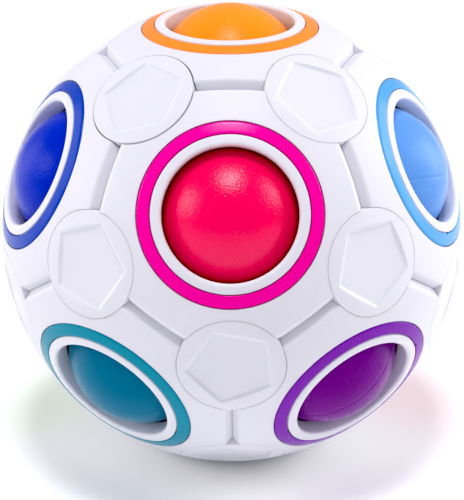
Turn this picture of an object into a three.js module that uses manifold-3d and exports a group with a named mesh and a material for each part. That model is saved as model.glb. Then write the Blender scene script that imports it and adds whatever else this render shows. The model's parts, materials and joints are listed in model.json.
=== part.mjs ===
// Puzzle ball: twelve white shell panels round twelve windows, a coloured ring in each panel,
// twenty white caps that lock the panel corners, eleven coloured balls and one inner ball.
// Millimetres, +Z up. The origin is on the surface that the ball stands on, under its middle.
import * as THREE from "three";
import { mergeVertices } from "three/addons/utils/BufferGeometryUtils.js";
import Module from "manifold-3d";

const wasm = await Module();
wasm.setup();

// Shell. The corners of the faceted dome stand out a little, so that its flats lie on the true sphere.
const SHELL_RADIUS = 35;
const FACET_ALLOWANCE = 0.1;
const DOME_RADIUS = SHELL_RADIUS + FACET_ALLOWANCE;
const SHELL_INNER_RADIUS = 32.4;
const SEAM_GAP = 0.3;
const GROOVE_HALF_WIDTH = 1.35;
const GROOVE_DEPTH = 1.1;

// Window collar and the channel that its ring sits in, as radii and heights from the ball's middle
const WINDOW_RADIUS = 9.5;
const LIP_HEIGHT = 30.75;
const COLLAR_OUTER_RADIUS = 10.9;
const RIM_HEIGHT = 33.45;
const CHANNEL_OUTER_RADIUS = 13.2;
const CHANNEL_FLOOR_HEIGHT = 31.5;
const RING_CLEARANCE = 0.2;

// Corner caps
const CAP_RADIUS = 7.6;
const CAP_CLEARANCE = 0.25;
const CAP_LEDGE_HEIGHT = 33.2;
const CAP_STEM_RADIUS = 4.1;
const CAP_STEM_END_HEIGHT = 31.2;
const PENTAGON_RADIUS = 6.2;
const PENTAGON_FLOOR_HEIGHT = 34.2;
const PENTAGON_DRAFT = THREE.MathUtils.degToRad(40);

// Balls
const BALL_RADIUS = 10.9;
const BALL_OUT = 24.85;
const BALL_IN = 20.6;
const CORE_RADIUS = 9.3;

// Roundness of each kind of piece, in sides
const PANEL_SIDES = 15;
const CAP_SIDES = 12;
const GROOVE_SIDES = 24;
const BALL_SIDES = 14;
const BALL_BANDS = 9;

// The windows lie on the twelve axes through the corners of an icosahedron
const AROUND = THREE.MathUtils.degToRad(72);
const WINDOW_TILT = Math.atan(2);
const EDGE_TILT = WINDOW_TILT / 2;
const CORNER_TILT = Math.atan(Math.tan(EDGE_TILT) / Math.cos(AROUND / 2));

const WHITE = 0xeeeef8;
const RING_GREY = 0xb8bcc4;

// Each window: its colour's name, tilt from +Z, turn round +Z from the front, and ball and ring colour
const WINDOWS = [
  { name: "orange", tilt: 0, turn: 0, ball: 0xff9930, ring: 0xff8c2e },
  { name: "pink", tilt: WINDOW_TILT, turn: 0, ball: 0xff0060, ring: 0xff00a0 },
  { name: "light_blue", tilt: WINDOW_TILT, turn: 72, ball: 0x6598e7, ring: 0x60b0f0 },
  { name: "yellow", tilt: WINDOW_TILT, turn: 144, ball: 0xffd820, ring: 0xffdc00 },
  { name: "green", tilt: WINDOW_TILT, turn: -144, ball: 0x10904a, ring: 0x10a050 },
  { name: "dark_blue", tilt: WINDOW_TILT, turn: -72, ball: 0x2038d0, ring: 0x0048d0 },
  { name: "purple", tilt: Math.PI - WINDOW_TILT, turn: 36, ball: 0x680880, ring: 0x7818a8 },
  { name: "red", tilt: Math.PI - WINDOW_TILT, turn: 108, ball: 0xd01018, ring: 0xe01820 },
  { name: "lilac", tilt: Math.PI - WINDOW_TILT, turn: 180, ball: 0xb08ad8, ring: 0xb890e0 },
  { name: "lime", tilt: Math.PI - WINDOW_TILT, turn: -108, ball: 0x80c820, ring: 0x88d020 },
  { name: "teal", tilt: Math.PI - WINDOW_TILT, turn: -36, ball: 0x007898, ring: 0x0098b8 },
  { name: "grey", tilt: Math.PI, turn: 0, ball: null, ring: RING_GREY },
];

// The pressed-in ball, beside the empty window that it can travel to
const PRESSED_BALL = "lilac";

// Each row of five caps, and how far each cap happens to be turned in its round seat, in degrees
const CAP_ROWS = [
  { name: "top", tilt: CORNER_TILT, start: -36, turns: [26, 3, 31, 12, -25] },
  { name: "upper", tilt: Math.PI - CORNER_TILT - WINDOW_TILT, start: -36, turns: [-14, 35, 17, -30, 6] },
  { name: "lower", tilt: CORNER_TILT + WINDOW_TILT, start: 0, turns: [23, -14, 3, 28, -20] },
  { name: "bottom", tilt: Math.PI - CORNER_TILT, start: 0, turns: [11, 33, -7, -28, 19] },
];

function axisAt(tilt, turnDegrees) {
  const turn = THREE.MathUtils.degToRad(turnDegrees);
  const across = Math.sin(tilt);
  return new THREE.Vector3(across * Math.sin(turn), -across * Math.cos(turn), Math.cos(tilt));
}

// A turn that puts +Z on axis and +X on the side of it that faces towards
function facing(axis, towards) {
  const x = towards.clone().addScaledVector(axis, -towards.dot(axis)).normalize();
  const y = new THREE.Vector3().crossVectors(axis, x);
  return new THREE.Matrix4().makeBasis(x, y, axis);
}

// Any direction that isn't along axis: up for most axes, back for the top and bottom windows
function sideOf(axis) {
  const up = new THREE.Vector3(0, 0, 1);
  return Math.abs(axis.dot(up)) > 0.99 ? new THREE.Vector3(0, 1, 0) : up;
}

function solidFrom(geometry) {
  const bare = geometry.clone();
  bare.deleteAttribute("normal");
  bare.deleteAttribute("uv");
  const merged = mergeVertices(bare);
  const mesh = new wasm.Mesh({
    numProp: 3,
    vertProperties: merged.attributes.position.array,
    triVerts: new Uint32Array(merged.index.array),
  });
  return new wasm.Manifold(mesh);
}

function geometryFrom(solid) {
  const mesh = solid.getMesh();
  const shared = new THREE.BufferGeometry();
  shared.setAttribute("position", new THREE.BufferAttribute(mesh.vertProperties, mesh.numProp));
  shared.setIndex(new THREE.BufferAttribute(mesh.triVerts, 1));
  const flat = shared.toNonIndexed();
  flat.computeVertexNormals();
  return flat;
}

// A profile of [radius, height] points turned round the Z axis
function turned(profile, sides) {
  const points = profile.map(([radius, height]) => new THREE.Vector2(radius, height));
  return new THREE.LatheGeometry(points, sides).rotateX(Math.PI / 2);
}

// The height of the shell's outer surface at a distance from a window's or a cap's axis
function shellHeight(radius) {
  return Math.sqrt(DOME_RADIUS ** 2 - radius ** 2);
}

// Points on a sphere's section from one tilt to another, both included
function sphereArc(sphereRadius, fromTilt, toTilt, steps) {
  return Array.from({ length: steps + 1 }, (_, i) => {
    const tilt = fromTilt + ((toTilt - fromTilt) * i) / steps;
    return [sphereRadius * Math.sin(tilt), sphereRadius * Math.cos(tilt)];
  });
}

// The round blank of a panel: domed wall, ring channel, and window collar
function panelBlank() {
  const beyondCorner = CORNER_TILT + 0.03;
  const channelTilt = Math.asin(CHANNEL_OUTER_RADIUS / DOME_RADIUS);
  const hubTilt = Math.asin((CHANNEL_OUTER_RADIUS - 1) / SHELL_INNER_RADIUS);
  const profile = [
    [WINDOW_RADIUS, LIP_HEIGHT],
    ...sphereArc(SHELL_INNER_RADIUS, hubTilt, beyondCorner, 1),
    ...sphereArc(DOME_RADIUS, beyondCorner, channelTilt, 2),
    [CHANNEL_OUTER_RADIUS, CHANNEL_FLOOR_HEIGHT],
    [COLLAR_OUTER_RADIUS, CHANNEL_FLOOR_HEIGHT],
    [COLLAR_OUTER_RADIUS, RIM_HEIGHT],
    [WINDOW_RADIUS, RIM_HEIGHT],
    [WINDOW_RADIUS, LIP_HEIGHT],
  ];
  return solidFrom(turned(profile, PANEL_SIDES));
}

// The five-sided wedge from the ball's middle that one panel fills, less half the seam
function panelWedge() {
  const height = SHELL_RADIUS * 1.5;
  const width = (height * Math.tan(EDGE_TILT)) / Math.cos(AROUND / 2);
  const wedge = new THREE.CylinderGeometry(width, 0, height, 5);
  wedge.rotateX(Math.PI / 2);
  wedge.rotateZ(Math.PI / 2 + AROUND / 2);
  wedge.translate(0, 0, height / 2 + SEAM_GAP / 2 / Math.sin(EDGE_TILT));
  return solidFrom(wedge);
}

// The V-shaped ring that bevels a panel's edge, on the great circle where two panels meet
function grooveCutter() {
  const above = 0.6;
  const bottom = SHELL_RADIUS - GROOVE_DEPTH;
  const top = SHELL_RADIUS + above;
  const halfWidth = (GROOVE_HALF_WIDTH * (top - bottom)) / GROOVE_DEPTH;
  const profile = [
    [bottom, 0],
    [top, -halfWidth],
    [top, halfWidth],
    [bottom, 0],
  ];
  return turned(profile, GROOVE_SIDES);
}

// The stepped hole for a cap: a seat for its disc and a smaller hole for its stem
function capSeatCutter() {
  const above = SHELL_RADIUS + 1;
  const below = SHELL_INNER_RADIUS - 2;
  const seat = CAP_RADIUS + CAP_CLEARANCE;
  const hole = CAP_STEM_RADIUS + CAP_CLEARANCE;
  const profile = [
    [0, below],
    [hole, below],
    [hole, CAP_LEDGE_HEIGHT],
    [seat, CAP_LEDGE_HEIGHT],
    [seat, above],
    [0, above],
  ];
  return turned(profile, CAP_SIDES);
}

function panelGeometry() {
  const own = new THREE.Vector3(0, 0, 1);
  let panel = panelBlank().intersect(panelWedge());
  for (let k = 0; k < 5; k++) {
    const roundOwn = new THREE.Matrix4().makeRotationZ(k * AROUND);
    const edgeNormal = new THREE.Vector3(Math.cos(EDGE_TILT), 0, -Math.sin(EDGE_TILT));
    const corner = new THREE.Vector3(Math.sin(CORNER_TILT), 0, Math.cos(CORNER_TILT));
    const atEdge = facing(edgeNormal, own).premultiply(roundOwn);
    const atCorner = facing(corner, own)
      .premultiply(new THREE.Matrix4().makeRotationZ(AROUND / 2))
      .premultiply(roundOwn);
    panel = panel.subtract(solidFrom(grooveCutter().applyMatrix4(atEdge)));
    panel = panel.subtract(solidFrom(capSeatCutter().applyMatrix4(atCorner)));
  }
  return geometryFrom(panel);
}

function ringGeometry() {
  const inner = COLLAR_OUTER_RADIUS + RING_CLEARANCE;
  const outer = CHANNEL_OUTER_RADIUS - RING_CLEARANCE;
  const floor = CHANNEL_FLOOR_HEIGHT + RING_CLEARANCE;
  const profile = [
    [inner, floor],
    [outer, floor],
    [outer, shellHeight(outer)],
    [inner, shellHeight(inner)],
    [inner, floor],
  ];
  return turned(profile, PANEL_SIDES);
}

// A cap: a domed disc with a stem, and a shallow flat-bottomed pentagon sunk into the dome
function capGeometry(turnDegrees) {
  const underside = CAP_LEDGE_HEIGHT + CAP_CLEARANCE;
  const deep = DOME_RADIUS - PENTAGON_FLOOR_HEIGHT;
  const top = PENTAGON_RADIUS + deep * Math.tan(PENTAGON_DRAFT);
  const profile = [
    [0, CAP_STEM_END_HEIGHT],
    [CAP_STEM_RADIUS, CAP_STEM_END_HEIGHT],
    [CAP_STEM_RADIUS, underside],
    [CAP_RADIUS, underside],
    [CAP_RADIUS, shellHeight(CAP_RADIUS)],
    [PENTAGON_RADIUS, shellHeight(PENTAGON_RADIUS)],
    [0, DOME_RADIUS],
  ];
  const pentagon = new THREE.CylinderGeometry(top, PENTAGON_RADIUS, deep, 5);
  pentagon.rotateX(Math.PI / 2);
  pentagon.rotateZ(Math.PI / 2 + THREE.MathUtils.degToRad(turnDegrees));
  pentagon.translate(0, 0, PENTAGON_FLOOR_HEIGHT + deep / 2);
  return geometryFrom(solidFrom(turned(profile, CAP_SIDES)).subtract(solidFrom(pentagon)));
}

function plastic(colour, roughness) {
  return new THREE.MeshStandardMaterial({ color: colour, roughness, metalness: 0 });
}

function place(mesh, axis, distance) {
  mesh.quaternion.setFromRotationMatrix(facing(axis, sideOf(axis)));
  mesh.position.copy(axis).multiplyScalar(distance);
  return mesh;
}

function namedMesh(name, geometry, colour, roughness) {
  const mesh = new THREE.Mesh(geometry, plastic(colour, roughness));
  mesh.name = name;
  return mesh;
}

// A panel's +X side points at a neighbouring window, so that its edges meet theirs
function neighbourOf(axis, axes) {
  return axes.find((other) => other !== axis && other.dot(axis) > 0.4);
}

function buildWindows(ball) {
  const panel = panelGeometry();
  const ring = ringGeometry();
  const sphere = new THREE.SphereGeometry(BALL_RADIUS, BALL_SIDES, BALL_BANDS);
  sphere.rotateX(Math.PI / 2);
  const axes = WINDOWS.map(({ tilt, turn }) => axisAt(tilt, turn));
  WINDOWS.forEach((window, i) => {
    const axis = axes[i];
    const turnedToNeighbour = facing(axis, neighbourOf(axis, axes));
    const panelMesh = namedMesh(`panel_${window.name}`, panel, WHITE, 0.4);
    panelMesh.quaternion.setFromRotationMatrix(turnedToNeighbour);
    const ringMesh = namedMesh(`ring_${window.name}`, ring, window.ring, 0.25);
    ringMesh.quaternion.copy(panelMesh.quaternion);
    ball.add(panelMesh, ringMesh);
    if (window.ball !== null) {
      const distance = window.name === PRESSED_BALL ? BALL_IN : BALL_OUT;
      ball.add(place(namedMesh(`ball_${window.name}`, sphere, window.ball, 0.35), axis, distance));
    }
  });
}

function buildCaps(ball) {
  for (const row of CAP_ROWS) {
    row.turns.forEach((turn, i) => {
      const axis = axisAt(row.tilt, row.start + 72 * i);
      const cap = namedMesh(`cap_${row.name}_${i + 1}`, capGeometry(turn), WHITE, 0.4);
      ball.add(place(cap, axis, 0));
    });
  }
}

const puzzle = new THREE.Group();
const ball = new THREE.Group();
ball.position.z = RIM_HEIGHT;
puzzle.add(ball);
buildWindows(ball);
buildCaps(ball);
const core = new THREE.SphereGeometry(CORE_RADIUS, BALL_SIDES, BALL_BANDS);
ball.add(namedMesh("core_ball", core.rotateX(Math.PI / 2), WHITE, 0.4));

export default puzzle;
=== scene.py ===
import json
import math

import bpy
from mathutils import Matrix, Vector


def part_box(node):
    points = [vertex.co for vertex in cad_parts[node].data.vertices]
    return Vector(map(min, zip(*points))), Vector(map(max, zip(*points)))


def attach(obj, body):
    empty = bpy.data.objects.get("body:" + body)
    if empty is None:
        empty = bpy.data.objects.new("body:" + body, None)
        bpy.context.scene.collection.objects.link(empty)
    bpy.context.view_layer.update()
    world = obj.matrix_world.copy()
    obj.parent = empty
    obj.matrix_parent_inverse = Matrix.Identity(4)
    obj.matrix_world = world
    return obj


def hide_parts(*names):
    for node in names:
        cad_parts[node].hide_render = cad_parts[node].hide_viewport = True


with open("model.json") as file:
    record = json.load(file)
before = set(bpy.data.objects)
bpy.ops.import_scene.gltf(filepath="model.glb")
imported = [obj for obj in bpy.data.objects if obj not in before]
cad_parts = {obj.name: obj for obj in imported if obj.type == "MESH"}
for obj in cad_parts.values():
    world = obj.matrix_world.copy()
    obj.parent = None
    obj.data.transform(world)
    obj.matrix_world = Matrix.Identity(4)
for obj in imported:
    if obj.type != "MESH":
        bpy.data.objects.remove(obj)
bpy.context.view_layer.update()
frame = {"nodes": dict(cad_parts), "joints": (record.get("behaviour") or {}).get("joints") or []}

# ---------------------------------------------------------------------------------------------
# The twelve shell panels: five-sided domed pieces of white ABS, injection moulded, each with a
# round window, a collar round the window and a channel round the collar. Their edges slope off from
# a rounded shoulder, so that a V groove shows where two meet, and the caps sit at their corners.
# ---------------------------------------------------------------------------------------------

MM = 0.001
SAME_POINT = 0.0001 * MM
SHELL_RADIUS = 34.98 * MM
SHELL_INNER_RADIUS = 32.4 * MM
SEAM_GAP = 0.04 * MM
GROOVE_HALF_WIDTH = 1.3 * MM
GROOVE_ROUNDING = 0.75 * MM
GROOVE_SLOPE = 48
WINDOW_RADIUS = 9.5 * MM
LIP_HEIGHT = 30.75 * MM
RIM_HEIGHT = 33.45 * MM
COLLAR_OUTER_RADIUS = 11.02 * MM
COLLAR_ROUNDING = 0.45 * MM
CHANNEL_OUTER_RADIUS = 13.05 * MM
CHANNEL_FLOOR_HEIGHT = 31.5 * MM
CAP_RADIUS = 7.7 * MM
CAP_GAP = 0.045 * MM
CAP_EDGE_BREAK = 0.04 * MM
CAP_LEDGE_HEIGHT = 32.9 * MM
CAP_STEM_RADIUS = 4.1 * MM
EDGE_BREAK = 0.07 * MM
CUTTER_OVERRUN = 3 * MM
SPIN_STEPS = 240

# Neighbouring windows stand atan 2 apart, and a panel's edge lies half-way between two of them
FIFTH_TURN = math.radians(72)
NEIGHBOUR_ANGLE = math.atan(2)
EDGE_TILT = NEIGHBOUR_ANGLE / 2
CORNER_TILT = math.atan(math.tan(EDGE_TILT) / math.cos(FIFTH_TURN / 2))

# Each window's axis, outwards from the middle of the ball, from the joints that press the balls
slides = [joint for joint in frame["joints"] if joint["type"] == "slide"]
travel = next(joint for joint in frame["joints"] if joint["type"] == "hinge")
middle = Vector(travel["pos_m"])
window_axes = {}
for joint in slides:
    colour = joint["name"].removesuffix("_press")
    low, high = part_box("ball_" + colour)
    axis = Vector(joint["axis"]).normalized()
    towards_ball = (low + high) / 2 - middle
    window_axes[colour] = axis if axis.dot(towards_ball) > 0 else -axis
window_axes["grey"] = -window_axes["orange"]


def are_neighbours(axis, other):
    return math.isclose(axis.angle(other), NEIGHBOUR_ANGLE, abs_tol=math.radians(1))


def turn_to(axis, side):
    """A turn that puts +Z on axis and +X on the side of it that faces side."""
    x = (side - axis * side.dot(axis)).normalized()
    return Matrix((x, axis.cross(x), axis)).transposed().to_4x4()


def shell_height(radius):
    """How far the shell's sphere stands along an axis, at a radius from that axis."""
    return math.sqrt(SHELL_RADIUS**2 - radius**2)


def arc(centre, radius, start, end, steps):
    """Points on a circle in a section, from one angle to another in degrees, both included."""
    angles = [math.radians(start + (end - start) * i / steps) for i in range(steps + 1)]
    return [(centre[0] + radius * math.cos(a), centre[1] + radius * math.sin(a)) for a in angles]


def spun(name, section, steps=SPIN_STEPS):
    """A solid of revolution about Z: a ring of vertices set to the section's points, then spun."""
    bpy.ops.object.select_all(action="DESELECT")
    bpy.ops.mesh.primitive_circle_add(vertices=len(section), radius=SHELL_RADIUS)
    piece = bpy.context.object
    piece.name = name
    for vertex, (radius, height) in zip(piece.data.vertices, section):
        vertex.co = (radius, 0, height)
    bpy.ops.object.mode_set(mode="EDIT")
    bpy.ops.mesh.select_all(action="DESELECT")
    bpy.ops.object.mode_set(mode="OBJECT")
    for edge in piece.data.edges:
        ends = [piece.data.vertices[i].co.x for i in edge.vertices]
        edge.select = max(ends) < SAME_POINT
    bpy.ops.object.mode_set(mode="EDIT")
    bpy.ops.mesh.select_mode(type="EDGE")
    bpy.ops.mesh.delete(type="EDGE_FACE")
    bpy.ops.mesh.select_mode(type="VERT")
    bpy.ops.mesh.select_all(action="SELECT")
    bpy.ops.mesh.spin(steps=steps, angle=math.tau, center=(0, 0, 0), axis=(0, 0, 1))
    bpy.ops.mesh.select_all(action="SELECT")
    bpy.ops.mesh.remove_doubles(threshold=SAME_POINT)
    bpy.ops.mesh.normals_make_consistent(inside=False)
    bpy.ops.object.mode_set(mode="OBJECT")
    return piece


def moved(piece, matrix):
    """Sets a piece's place in its mesh, so that its object stays at the origin."""
    piece.data.transform(matrix)
    piece.data.update()
    return piece


def cut(piece, cutter):
    """Cuts the cutter's shape out of piece, and removes the cutter."""
    bpy.ops.object.select_all(action="DESELECT")
    bpy.context.view_layer.objects.active = piece
    piece.select_set(True)
    change = piece.modifiers.new("cut", "BOOLEAN")
    change.object = cutter
    change.operation = "DIFFERENCE"
    change.solver = "EXACT"
    bpy.ops.object.modifier_apply(modifier=change.name)
    bpy.data.objects.remove(cutter)


def smoothed(piece, angle=32):
    """Smooth shading over gentle bends, with the large faces setting the normals."""
    bpy.ops.object.select_all(action="DESELECT")
    bpy.context.view_layer.objects.active = piece
    piece.select_set(True)
    bpy.ops.object.mode_set(mode="EDIT")
    bpy.ops.mesh.select_all(action="SELECT")
    bpy.ops.mesh.remove_doubles(threshold=10 * SAME_POINT)
    bpy.ops.object.mode_set(mode="OBJECT")
    bpy.ops.object.shade_smooth_by_angle(angle=math.radians(angle))
    weighting = piece.modifiers.new("weighting", "WEIGHTED_NORMAL")
    weighting.keep_sharp = True
    bpy.ops.object.modifier_apply(modifier=weighting.name)
    return piece


def copied(model, name, matrix):
    """A copy with its own mesh, turned and set in place."""
    copy = model.copy()
    copy.data = model.data.copy()
    copy.name = name
    bpy.context.scene.collection.objects.link(copy)
    return moved(copy, matrix)


def linear(hex_colour):
    """An sRGB hex colour as linear red, green, blue and alpha."""
    channels = [int(hex_colour[i : i + 2], 16) / 255 for i in (1, 3, 5)]
    return [c / 12.92 if c <= 0.04045 else ((c + 0.055) / 1.055) ** 2.4 for c in channels] + [1]


def node(tree, kind, settings=(), links=()):
    """Adds a shader node, with its settings or socket values, and links into it."""
    made = tree.nodes.new(kind)
    for name, value in dict(settings).items():
        if name in made.inputs:
            made.inputs[name].default_value = value
        else:
            setattr(made, name, value)
    for name, source in dict(links).items():
        tree.links.new(source, made.inputs[name])
    return made


def panel_section():
    """The section of a panel through its window: collar, channel, dome and inner face."""
    margin = 2
    past_corner = math.degrees(CORNER_TILT) + margin
    dome_start = math.degrees(math.asin((CHANNEL_OUTER_RADIUS + EDGE_BREAK) / SHELL_RADIUS))
    inner_start = math.degrees(math.asin(CHANNEL_OUTER_RADIUS / SHELL_INNER_RADIUS)) - margin
    channel_top = shell_height(CHANNEL_OUTER_RADIUS) - EDGE_BREAK
    bore_edge = (WINDOW_RADIUS + COLLAR_ROUNDING, RIM_HEIGHT - COLLAR_ROUNDING)
    outer_edge = (COLLAR_OUTER_RADIUS - EDGE_BREAK, shell_height(COLLAR_OUTER_RADIUS) - EDGE_BREAK)
    section = [(WINDOW_RADIUS, LIP_HEIGHT + EDGE_BREAK), (WINDOW_RADIUS + EDGE_BREAK, LIP_HEIGHT)]
    section += arc((0, 0), SHELL_INNER_RADIUS, 90 - inner_start, 90 - past_corner, 10)
    section += arc((0, 0), SHELL_RADIUS, 90 - past_corner, 90 - dome_start, 30)
    section += [(CHANNEL_OUTER_RADIUS, channel_top), (CHANNEL_OUTER_RADIUS, CHANNEL_FLOOR_HEIGHT)]
    section += [(COLLAR_OUTER_RADIUS, CHANNEL_FLOOR_HEIGHT)]
    section += arc(outer_edge, EDGE_BREAK, 0, 65, 3)
    section += arc(bore_edge, COLLAR_ROUNDING, 78, 180, 10)
    return section


def seam_cutter():
    """What lies past one edge of a panel: a sloping flank with a rounded shoulder, and the seam's
    own plane below it. Its axis is the seam's normal."""
    seam = -SEAM_GAP / 2
    centre = (shell_height(GROOVE_HALF_WIDTH) - GROOVE_ROUNDING, seam - GROOVE_HALF_WIDTH)
    shoulder = arc(centre, GROOVE_ROUNDING, GROOVE_SLOPE, 3, 8)
    flank_top, shoulder_end = shoulder[0], shoulder[-1]
    fall = (seam - flank_top[1]) * math.tan(math.radians(GROOVE_SLOPE))
    foot = (flank_top[0] - fall, seam)
    run_out = (shoulder_end[0] + 0.2 * MM, shoulder_end[1] - 0.95 * MM)
    far = SHELL_RADIUS + CUTTER_OVERRUN
    section = [(0, seam), foot] + shoulder + [run_out, (far, run_out[1]), (far, far), (0, far)]
    return spun("seam_cutter", section, steps=360)


def cap_seat_cutter():
    """The stepped hole at a panel's corner: the seat of the cap's disc, and the hole for its stem."""
    seat = CAP_RADIUS + CAP_GAP
    stem_hole = CAP_STEM_RADIUS + CAP_GAP
    chamfer_foot = shell_height(seat) - CAP_EDGE_BREAK
    chamfer_run = 1 * MM
    section = [
        (0, SHELL_INNER_RADIUS - CUTTER_OVERRUN),
        (stem_hole, SHELL_INNER_RADIUS - CUTTER_OVERRUN),
        (stem_hole, CAP_LEDGE_HEIGHT),
        (seat, CAP_LEDGE_HEIGHT),
        (seat, chamfer_foot),
        (seat + chamfer_run, chamfer_foot + chamfer_run),
        (0, chamfer_foot + 2 * chamfer_run),
    ]
    return spun("cap_seat_cutter", section, steps=120)


panel = spun("panel", panel_section())
window_axis = Vector((0, 0, 1))
edge_normal = Vector((math.cos(EDGE_TILT), 0, -math.sin(EDGE_TILT)))
corner_axis = Vector((math.sin(CORNER_TILT), 0, math.cos(CORNER_TILT)))
for k in range(5):
    to_edge = Matrix.Rotation(k * FIFTH_TURN, 4, "Z")
    to_corner = to_edge @ Matrix.Rotation(FIFTH_TURN / 2, 4, "Z")
    cut(panel, moved(seam_cutter(), to_edge @ turn_to(edge_normal, window_axis)))
    cut(panel, moved(cap_seat_cutter(), to_corner @ turn_to(corner_axis, window_axis)))
smoothed(panel)


def specks(tree, place, spacing, radius, share):
    """A mask of round specks: one in each cell of a grid of this spacing, in a share of the cells."""
    cells = node(tree, "ShaderNodeTexVoronoi", {"Scale": 1 / spacing}, {"Vector": place})
    near = node(tree, "ShaderNodeMath", {"operation": "LESS_THAN"}, {0: cells.outputs["Distance"]})
    near.inputs[1].default_value = radius / spacing
    chance = node(tree, "ShaderNodeSeparateColor", (), {"Color": cells.outputs["Color"]})
    chosen = node(tree, "ShaderNodeMath", {"operation": "LESS_THAN"}, {0: chance.outputs["Red"]})
    chosen.inputs[1].default_value = share
    both = node(tree, "ShaderNodeMath", {"operation": "MULTIPLY"}, {0: near.outputs[0], 1: chosen.outputs[0]})
    return both.outputs[0]


def white_abs(name):
    """Moulded white ABS, satin from a fine spark-eroded mould: an even cool white with a soft sheen,
    a very fine grain, a slow waviness from shrinkage, and a dust speck here and there."""
    material = bpy.data.materials.new(name)
    material.use_nodes = True
    tree = material.node_tree
    shader = tree.nodes["Principled BSDF"]
    place = node(tree, "ShaderNodeTexCoord").outputs["Object"]
    cloud = node(tree, "ShaderNodeTexNoise", {"Scale": 1 / (9 * MM), "Detail": 3}, {"Vector": place})
    whites = {"data_type": "RGBA", "A": linear("#D7D6DE"), "B": linear("#DCDBE3")}
    white = node(tree, "ShaderNodeMix", whites, {"Factor": cloud.outputs["Fac"]}).outputs["Result"]
    dust = {"data_type": "RGBA", "B": linear("#8A867F")}
    where = specks(tree, place, 7 * MM, 0.12 * MM, 0.2)
    dusty = node(tree, "ShaderNodeMix", dust, {"Factor": where, "A": white}).outputs["Result"]
    tree.links.new(dusty, shader.inputs["Base Color"])
    spread = {"To Min": 0.44, "To Max": 0.54}
    rough = node(tree, "ShaderNodeMapRange", spread, {"Value": cloud.outputs["Fac"]})
    tree.links.new(rough.outputs["Result"], shader.inputs["Roughness"])
    grain = node(tree, "ShaderNodeTexNoise", {"Scale": 1 / (0.3 * MM), "Detail": 2}, {"Vector": place})
    relief = {"Strength": 0.12, "Distance": 0.02 * MM}
    fine = node(tree, "ShaderNodeBump", relief, {"Height": grain.outputs["Fac"]})
    wave = node(tree, "ShaderNodeBump", {"Strength": 0.25, "Distance": 0.08 * MM})
    tree.links.new(cloud.outputs["Fac"], wave.inputs["Height"])
    tree.links.new(fine.outputs["Normal"], wave.inputs["Normal"])
    tree.links.new(wave.outputs["Normal"], shader.inputs["Normal"])
    shader.inputs["IOR"].default_value = 1.54
    shader.inputs["Specular IOR Level"].default_value = 0.35
    shader.inputs["Subsurface Weight"].default_value = 0.5
    shader.inputs["Subsurface Radius"].default_value = (1, 1, 1)
    shader.inputs["Subsurface Scale"].default_value = 0.9 * MM
    return material


shell_white = white_abs("moulded_white_abs_panels")
panel.data.materials.append(shell_white)
for colour, axis in window_axes.items():
    neighbour = next(other for other in window_axes.values() if are_neighbours(axis, other))
    in_place = Matrix.Translation(middle) @ turn_to(axis, neighbour)
    piece = copied(panel, "shell_panel_" + colour, in_place)
    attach(piece, "shell")
    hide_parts("panel_" + colour)
bpy.data.objects.remove(panel)

# ---------------------------------------------------------------------------------------------
# The twelve rings: glossy coloured ABS hoops whose tops carry on the ball's own curve, pressed into
# the channels of the panels. Each shows a small scar where its moulding gate was cut off.
# ---------------------------------------------------------------------------------------------

RING_INNER_RADIUS = 11.13 * MM
RING_OUTER_RADIUS = 12.94 * MM
RING_EDGE_DROP = 0.2 * MM
RING_FLOOR_HEIGHT = 31.6 * MM
GATE_SCAR_RADIUS = 0.28 * MM
GATE_SCAR_INSET = 0.1 * MM

# A ring's top falls to its edges by RING_EDGE_DROP, and this power keeps the fall close to them
RING_EDGE_POWER = 12

RING_COLOURS = {
    "orange": "#FF8C2E",
    "pink": "#F0009A",
    "light_blue": "#4F9FDC",
    "yellow": "#FFDC00",
    "green": "#10A050",
    "dark_blue": "#003CB0",
    "purple": "#7A1CA8",
    "red": "#E01820",
    "lilac": "#B890E0",
    "lime": "#88D020",
    "teal": "#0088A2",
    "grey": "#B8BCC4",
}

# How each ring happens to be turned in its channel, in degrees, which is where its gate scar shows
GATE_TURNS = {"pink": 225, "orange": 70, "light_blue": 160, "dark_blue": 20, "purple": 300, "teal": 110}


def ring_section():
    """The section of a ring: a flat underside, straight walls, and a top on the shell's curve."""
    half = (RING_OUTER_RADIUS - RING_INNER_RADIUS) / 2
    centre = RING_INNER_RADIUS + half
    top = []
    steps = 24
    for i in range(steps + 1):
        across = 1 - 2 * i / steps
        radius = centre + across * half
        top.append((radius, shell_height(radius) - RING_EDGE_DROP * abs(across) ** RING_EDGE_POWER))
    return [(RING_INNER_RADIUS, RING_FLOOR_HEIGHT), (RING_OUTER_RADIUS, RING_FLOOR_HEIGHT)] + top


ring = spun("ring", ring_section())
bpy.ops.object.select_all(action="DESELECT")
scar_place = (RING_INNER_RADIUS + GATE_SCAR_INSET, 0, shell_height(RING_INNER_RADIUS))
bpy.ops.mesh.primitive_uv_sphere_add(segments=24, ring_count=12, radius=GATE_SCAR_RADIUS, location=scar_place)
scar = bpy.context.object
moved(scar, Matrix.Translation(scar.location))
scar.location = (0, 0, 0)
cut(ring, scar)
smoothed(ring, angle=40)


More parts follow.
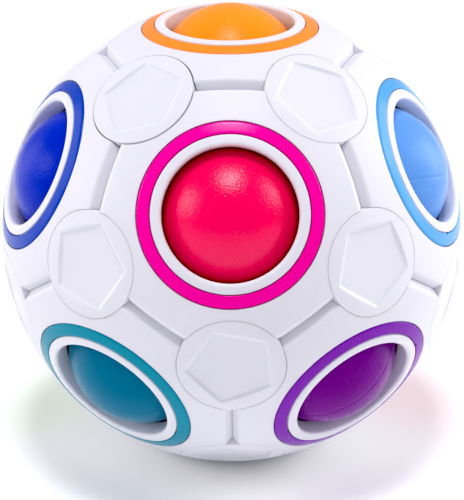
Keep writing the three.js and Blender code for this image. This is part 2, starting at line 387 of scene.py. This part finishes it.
def gloss_abs(name, hex_colour):
    """Coloured ABS from a polished mould: a deep even colour under a bright gloss, with patchy
    wear, tiny pale scuffs, and a slow ripple that breaks the reflections."""
    material = bpy.data.materials.new(name)
    material.use_nodes = True
    tree = material.node_tree
    shader = tree.nodes["Principled BSDF"]
    place = node(tree, "ShaderNodeTexCoord").outputs["Object"]
    shades = {"data_type": "RGBA", "A": [0.93 * c for c in linear(hex_colour)[:3]] + [1]}
    shades["B"] = linear(hex_colour)
    flow = node(tree, "ShaderNodeTexNoise", {"Scale": 1 / (5 * MM), "Detail": 2}, {"Vector": place})
    full = node(tree, "ShaderNodeMix", shades, {"Factor": flow.outputs["Fac"]}).outputs["Result"]
    scuff = {"data_type": "RGBA", "B": [0.5 * c + 0.35 for c in linear(hex_colour)[:3]] + [1]}
    where = specks(tree, place, 1.6 * MM, 0.09 * MM, 0.12)
    worn = node(tree, "ShaderNodeMix", scuff, {"Factor": where, "A": full}).outputs["Result"]
    tree.links.new(worn, shader.inputs["Base Color"])
    scratch = node(tree, "ShaderNodeTexNoise", {"Scale": 1 / (0.5 * MM), "Detail": 4}, {"Vector": place})
    spread = {"To Min": 0.1, "To Max": 0.36}
    rough = node(tree, "ShaderNodeMapRange", spread, {"Value": scratch.outputs["Fac"]})
    tree.links.new(rough.outputs["Result"], shader.inputs["Roughness"])
    relief = {"Strength": 0.35, "Distance": 0.1 * MM}
    ripple = node(tree, "ShaderNodeBump", relief, {"Height": flow.outputs["Fac"]})
    tree.links.new(ripple.outputs["Normal"], shader.inputs["Normal"])
    shader.inputs["IOR"].default_value = 1.54
    shader.inputs["Specular IOR Level"].default_value = 0.18
    return material


def upper_side(axis):
    """The side that a piece's turn is counted from: up, or the back where its axis is upright."""
    return Vector((0, 1, 0)) if abs(axis.z) > 0.99 else Vector((0, 0, 1))


for colour, axis in window_axes.items():
    gate = Matrix.Rotation(math.radians(GATE_TURNS.get(colour, 0)), 4, "Z")
    in_place = Matrix.Translation(middle) @ turn_to(axis, upper_side(axis)) @ gate
    piece = copied(ring, "window_ring_" + colour, in_place)
    piece.data.materials.append(gloss_abs("polished_abs_ring_" + colour, RING_COLOURS[colour]))
    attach(piece, "shell")
    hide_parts("ring_" + colour)
bpy.data.objects.remove(ring)

# ---------------------------------------------------------------------------------------------
# The inner ball: a plain white ball, moulded as two halves and glued. It floats loose in the
# middle and keeps the coloured balls from falling in.
# ---------------------------------------------------------------------------------------------

CORE_RADIUS = 9.3 * MM
SEAM_WIDTH = 0.22 * MM
SEAM_DEPTH = 0.05 * MM
BALL_STEPS = 128


def ball_section(radius):
    """Half a circle, from pole to pole, with the fine groove where the two halves are glued."""
    half_angle = math.degrees(SEAM_WIDTH / 2 / radius)
    lower = arc((0, 0), radius, -90, -half_angle, 40)
    upper = arc((0, 0), radius, half_angle, 90, 40)
    lower[0] = (0, -radius)
    upper[-1] = (0, radius)
    return lower + [(radius - SEAM_DEPTH, 0)] + upper


core = smoothed(spun("inner_ball", ball_section(CORE_RADIUS), steps=BALL_STEPS), angle=60)
moved(core, Matrix.Translation(middle))
core.data.materials.append(white_abs("moulded_white_abs_inner_ball"))
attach(core, "inner_ball")
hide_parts("core_ball")

# ---------------------------------------------------------------------------------------------
# The eleven coloured balls: hollow ABS balls of two glued halves, satin from a fine-blasted
# mould. Each sits behind its window's collar, turned at random; the lilac one is pressed in.
# ---------------------------------------------------------------------------------------------

BALL_RADIUS = 10.9 * MM
BALL_OUT = 24.85 * MM
BALL_IN = 20.6 * MM
PRESSED_BALL = "lilac"
USUAL_SHEEN = 0.14

BALL_COLOURS = {
    "orange": "#FF9326",
    "pink": "#F60056",
    "light_blue": "#629AE4",
    "yellow": "#FFD820",
    "green": "#10904A",
    "dark_blue": "#0A2CB8",
    "purple": "#720C88",
    "red": "#D01018",
    "lilac": "#B08AD8",
    "lime": "#80C820",
    "teal": "#006E90",
}

# How strongly a ball reflects, where thumbs have polished it more than the rest
SHEENS = {"pink": 0.34}

# How each ball happens to lie: its glued seam's axis, as a tilt from the window's axis and a turn
SEAM_AXES = {
    "light_blue": (73, 342),
    "purple": (83, 218),
    "yellow": (50, 30),
    "red": (75, 140),
}


def satin_abs(name, hex_colour, sheen):
    """Coloured ABS from a fine-blasted mould: a full colour with a broad soft highlight, pebbled
    at about a third of a millimetre, with a few specks of pale dust."""
    material = bpy.data.materials.new(name)
    material.use_nodes = True
    tree = material.node_tree
    shader = tree.nodes["Principled BSDF"]
    place = node(tree, "ShaderNodeTexCoord").outputs["Object"]
    cloud = node(tree, "ShaderNodeTexNoise", {"Scale": 1 / (4 * MM), "Detail": 3}, {"Vector": place})
    shades = {"data_type": "RGBA", "A": [0.92 * c for c in linear(hex_colour)[:3]] + [1]}
    shades["B"] = linear(hex_colour)
    full = node(tree, "ShaderNodeMix", shades, {"Factor": cloud.outputs["Fac"]}).outputs["Result"]
    dust = {"data_type": "RGBA", "B": linear("#D8D6DA")}
    where = specks(tree, place, 2.6 * MM, 0.07 * MM, 0.12)
    dusty = node(tree, "ShaderNodeMix", dust, {"Factor": where, "A": full}).outputs["Result"]
    tree.links.new(dusty, shader.inputs["Base Color"])
    spread = {"To Min": 0.22, "To Max": 0.3}
    rough = node(tree, "ShaderNodeMapRange", spread, {"Value": cloud.outputs["Fac"]})
    tree.links.new(rough.outputs["Result"], shader.inputs["Roughness"])
    pebble = node(tree, "ShaderNodeTexNoise", {"Scale": 1 / (0.3 * MM), "Detail": 2}, {"Vector": place})
    relief = {"Strength": 1, "Distance": 0.06 * MM}
    bump = node(tree, "ShaderNodeBump", relief, {"Height": pebble.outputs["Fac"]})
    tree.links.new(bump.outputs["Normal"], shader.inputs["Normal"])
    shader.inputs["IOR"].default_value = 1.54
    shader.inputs["Specular IOR Level"].default_value = sheen
    return material


ball = smoothed(spun("ball", ball_section(BALL_RADIUS), steps=BALL_STEPS), angle=60)
for colour, hex_colour in BALL_COLOURS.items():
    axis = window_axes[colour]
    tilt, turn = (math.radians(a) for a in SEAM_AXES.get(colour, (0, 0)))
    rolled = Matrix.Rotation(turn, 4, "Z") @ Matrix.Rotation(tilt, 4, "Y")
    distance = BALL_IN if colour == PRESSED_BALL else BALL_OUT
    in_place = Matrix.Translation(middle + axis * distance) @ turn_to(axis, upper_side(axis)) @ rolled
    piece = copied(ball, "coloured_ball_" + colour, in_place)
    sheen = SHEENS.get(colour, USUAL_SHEEN)
    piece.data.materials.append(satin_abs("satin_abs_ball_" + colour, hex_colour, sheen))
    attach(piece, colour + "_ball")
    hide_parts("ball_" + colour)
bpy.data.objects.remove(ball)

# ---------------------------------------------------------------------------------------------
# The twenty caps: white ABS discs on stems, each snapped through the corners of three panels to
# lock them. A shallow flat-bottomed pentagon with soft edges is sunk into each domed top, and each
# cap sits at whatever turn it was pushed in at. One is a little undersized and sits to one side.
# ---------------------------------------------------------------------------------------------

CAP_UNDERSIDE_HEIGHT = 33.0 * MM
CAP_STEM_END_HEIGHT = 31.2 * MM
PENTAGON_FLOOR_HEIGHT = 34.2 * MM
PENTAGON_REACH = 6.25 * MM
PENTAGON_APOTHEM = PENTAGON_REACH * math.cos(FIFTH_TURN / 2)
PENTAGON_POINT = math.pi / 2
PENTAGON_SLOPE = math.tan(math.radians(43))
PENTAGON_SOFTNESS = 0.18 * MM
LOOSE_CAP = "cap_top_1"
LOOSE_CAP_SHIFT = 0.1 * MM
LOOSE_CAP_SHARE = 0.985

# The rings of vertices over the pentagon's wall, as shares of the way out from its foot to its rim,
# and how many more there are on the dome outside them
WALL_RINGS = (2.2, 1.6, 1.3, 1.15, 1, 0.85, 0.7, 0.5, 0.3, 0.15, 0, -0.15, -0.35, -1)
DOME_RINGS = 5


def cap_section():
    """Half of a cap's section. Its top is only a stack of rings here, numbered by their heights."""
    rings = DOME_RINGS + len(WALL_RINGS) + 1
    top = [(CAP_RADIUS * (1 - k / rings), SHELL_RADIUS + k * MM) for k in range(1, rings + 1)]
    return [
        (0, CAP_STEM_END_HEIGHT),
        (CAP_STEM_RADIUS - EDGE_BREAK, CAP_STEM_END_HEIGHT),
        (CAP_STEM_RADIUS, CAP_STEM_END_HEIGHT + EDGE_BREAK),
        (CAP_STEM_RADIUS, CAP_UNDERSIDE_HEIGHT),
        (CAP_RADIUS, CAP_UNDERSIDE_HEIGHT),
        (CAP_RADIUS, shell_height(CAP_RADIUS) - CAP_EDGE_BREAK),
    ] + top


def cap_top_height(reach, out):
    """The height of a cap's top, at a reach from its axis and out from the foot of the wall. The
    rim and the foot are rounded over PENTAGON_SOFTNESS."""
    dome = shell_height(reach)
    wall = PENTAGON_FLOOR_HEIGHT + out * PENTAGON_SLOPE
    near_rim = max(PENTAGON_SOFTNESS - abs(dome - wall), 0)
    top = min(dome, wall) - near_rim**2 / (4 * PENTAGON_SOFTNESS)
    near_foot = max(PENTAGON_SOFTNESS - abs(top - PENTAGON_FLOOR_HEIGHT), 0)
    return max(top, PENTAGON_FLOOR_HEIGHT) + near_foot**2 / (4 * PENTAGON_SOFTNESS)


def shape_top(cap):
    """Sets the stacked rings to the dome, and then to the pentagon's rim, wall and floor. How far
    out the wall meets the dome depends on the height there, which a few passes settle."""
    for vertex in cap.data.vertices:
        ring = round((vertex.co.z - SHELL_RADIUS) / MM)
        turn = math.atan2(vertex.co.y, vertex.co.x)
        from_side = (turn - PENTAGON_POINT) % FIFTH_TURN - FIFTH_TURN / 2
        rim = 0
        for _ in range(5):
            rim_reach = (PENTAGON_APOTHEM + rim) / math.cos(from_side)
            rim = (shell_height(rim_reach) - PENTAGON_FLOOR_HEIGHT) / PENTAGON_SLOPE
        if ring > DOME_RINGS + len(WALL_RINGS):
            vertex.co = (0, 0, PENTAGON_FLOOR_HEIGHT)
        elif ring > DOME_RINGS:
            out = WALL_RINGS[ring - DOME_RINGS - 1] * rim
            reach = (PENTAGON_APOTHEM + out) / math.cos(from_side)
            vertex.co = (reach * math.cos(turn), reach * math.sin(turn), cap_top_height(reach, out))
        elif ring > 0:
            edge = CAP_RADIUS - CAP_EDGE_BREAK
            outermost = (PENTAGON_APOTHEM + WALL_RINGS[0] * rim) / math.cos(from_side)
            reach = edge + (outermost - edge) * (ring - 1) / DOME_RINGS
            vertex.co = (reach * math.cos(turn), reach * math.sin(turn), shell_height(reach))
    return cap


def cad_cap_turn(name, to_local):
    """How far the CAD cap's pentagon is turned about its axis: the angle of a corner of its floor."""
    points = [to_local @ vertex.co for vertex in frame["nodes"][name].data.vertices]
    on_floor = [p for p in points if abs(p.z - PENTAGON_FLOOR_HEIGHT) < 0.02 * MM]
    corner = next(p for p in on_floor if p.xy.length > PENTAGON_APOTHEM)
    return math.atan2(corner.y, corner.x)


cap = smoothed(shape_top(spun("cap", cap_section(), steps=200)), angle=28)
cap.data.materials.append(white_abs("moulded_white_abs_caps"))
corner_axes = []
axes = list(window_axes.values())
for i, a in enumerate(axes):
    for j, b in enumerate(axes[:i]):
        for c in axes[:j]:
            if are_neighbours(a, b) and are_neighbours(b, c) and are_neighbours(c, a):
                corner_axes.append((a + b + c).normalized())
for name in sorted(n for n in frame["nodes"] if n.startswith("cap_")):
    low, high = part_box(name)
    outwards = ((low + high) / 2 - middle).normalized()
    axis = max(corner_axes, key=outwards.dot)
    seat = Matrix.Translation(middle) @ turn_to(axis, Vector((0, 0, 1)))
    cad_point = cad_cap_turn(name, seat.inverted())
    in_place = seat @ Matrix.Rotation(cad_point - PENTAGON_POINT, 4, "Z")
    if name == LOOSE_CAP:
        aside = (axis - window_axes["pink"] * axis.dot(window_axes["pink"])).normalized()
        undersized = Matrix.Diagonal((LOOSE_CAP_SHARE, LOOSE_CAP_SHARE, 1, 1))
        in_place = Matrix.Translation(aside * LOOSE_CAP_SHIFT) @ in_place @ undersized
    piece = copied(cap, "corner_" + name, in_place)
    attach(piece, "shell")
    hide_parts(name)
bpy.data.objects.remove(cap)

# ---------------------------------------------------------------------------------------------
# The table: a sheet of matt white acrylic, lit faintly from below.
# ---------------------------------------------------------------------------------------------

bpy.ops.object.select_all(action="DESELECT")
bpy.ops.mesh.primitive_plane_add(size=6)
floor = bpy.context.object
floor.name = "pale_floor"
acrylic = bpy.data.materials.new("matt_white_acrylic")
acrylic.use_nodes = True
acrylic_shader = acrylic.node_tree.nodes["Principled BSDF"]
acrylic_shader.inputs["Base Color"].default_value = linear("#FDFDFD")
acrylic_shader.inputs["Roughness"].default_value = 0.8
acrylic_shader.inputs["Emission Color"].default_value = linear("#FFFFFF")
acrylic_shader.inputs["Emission Strength"].default_value = 0.05
floor.data.materials.append(acrylic)

# ---------------------------------------------------------------------------------------------
# The light: a white room, a wide overhead softbox, one on each side, and one behind each shoulder.
# ---------------------------------------------------------------------------------------------

# The levels deepen the darks a little, and take the palest tones up to a clean white
scene = bpy.context.scene
scene.view_settings.view_transform = "Standard"
scene.view_settings.use_curve_mapping = True
scene.view_settings.curve_mapping.black_level = (0.02, 0.02, 0.02)
scene.view_settings.curve_mapping.white_level = (0.93, 0.93, 0.93)
world = bpy.data.worlds.new("white_room")
world.use_nodes = True
world.node_tree.nodes["Background"].inputs["Color"].default_value = linear("#F4F3FC")
world.node_tree.nodes["Background"].inputs["Strength"].default_value = 0.5
scene.world = world


def softbox(name, place, size, power):
    """A square area light aimed at the middle of the ball. Its place is from there, in metres, and
    its power is in watts."""
    lamp = bpy.data.lights.new(name, "AREA")
    lamp.size = size
    lamp.energy = power
    holder = bpy.data.objects.new(name, lamp)
    holder.location = middle + Vector(place)
    holder.rotation_euler = (-Vector(place)).to_track_quat("-Z", "Y").to_euler()
    scene.collection.objects.link(holder)


softbox("overhead_softbox", (0.0, -0.2, 1.5), 0.38, 11.5)
softbox("left_softbox", (-1.32, -0.25, 0.67), 0.6, 5.0)
softbox("right_softbox", (1.25, 0.05, 0.8), 0.6, 4.8)
softbox("left_back_softbox", (-1.35, 0.55, 0.35), 0.8, 4.0)
softbox("right_back_softbox", (1.35, 0.6, 0.35), 0.8, 8.5)

# ---------------------------------------------------------------------------------------------
# The camera: a long lens, a little above the ball and square to its front.
# ---------------------------------------------------------------------------------------------

CAMERA_DISTANCE = 0.311
CAMERA_ELEVATION = math.radians(22.58)
CAMERA_AZIMUTH = math.radians(0.38)
CAMERA_ROLL = math.radians(-0.5)
LOOK_DOWN = math.radians(0.53)
LENS = 146.3

lens = bpy.data.cameras.new("camera")
lens.lens = LENS
lens.sensor_width = 36
lens.clip_start = 0.01
camera = bpy.data.objects.new("camera", lens)
scene.collection.objects.link(camera)
back = Vector(
    (
        math.sin(CAMERA_AZIMUTH) * math.cos(CAMERA_ELEVATION),
        -math.cos(CAMERA_AZIMUTH) * math.cos(CAMERA_ELEVATION),
        math.sin(CAMERA_ELEVATION),
    )
)
camera.location = middle + back * CAMERA_DISTANCE
aim = (-back).to_track_quat("-Z", "Y").to_matrix().to_4x4()
aim = aim @ Matrix.Rotation(-LOOK_DOWN, 4, "X") @ Matrix.Rotation(CAMERA_ROLL, 4, "Z")
camera.rotation_euler = aim.to_euler()
scene.camera = camera
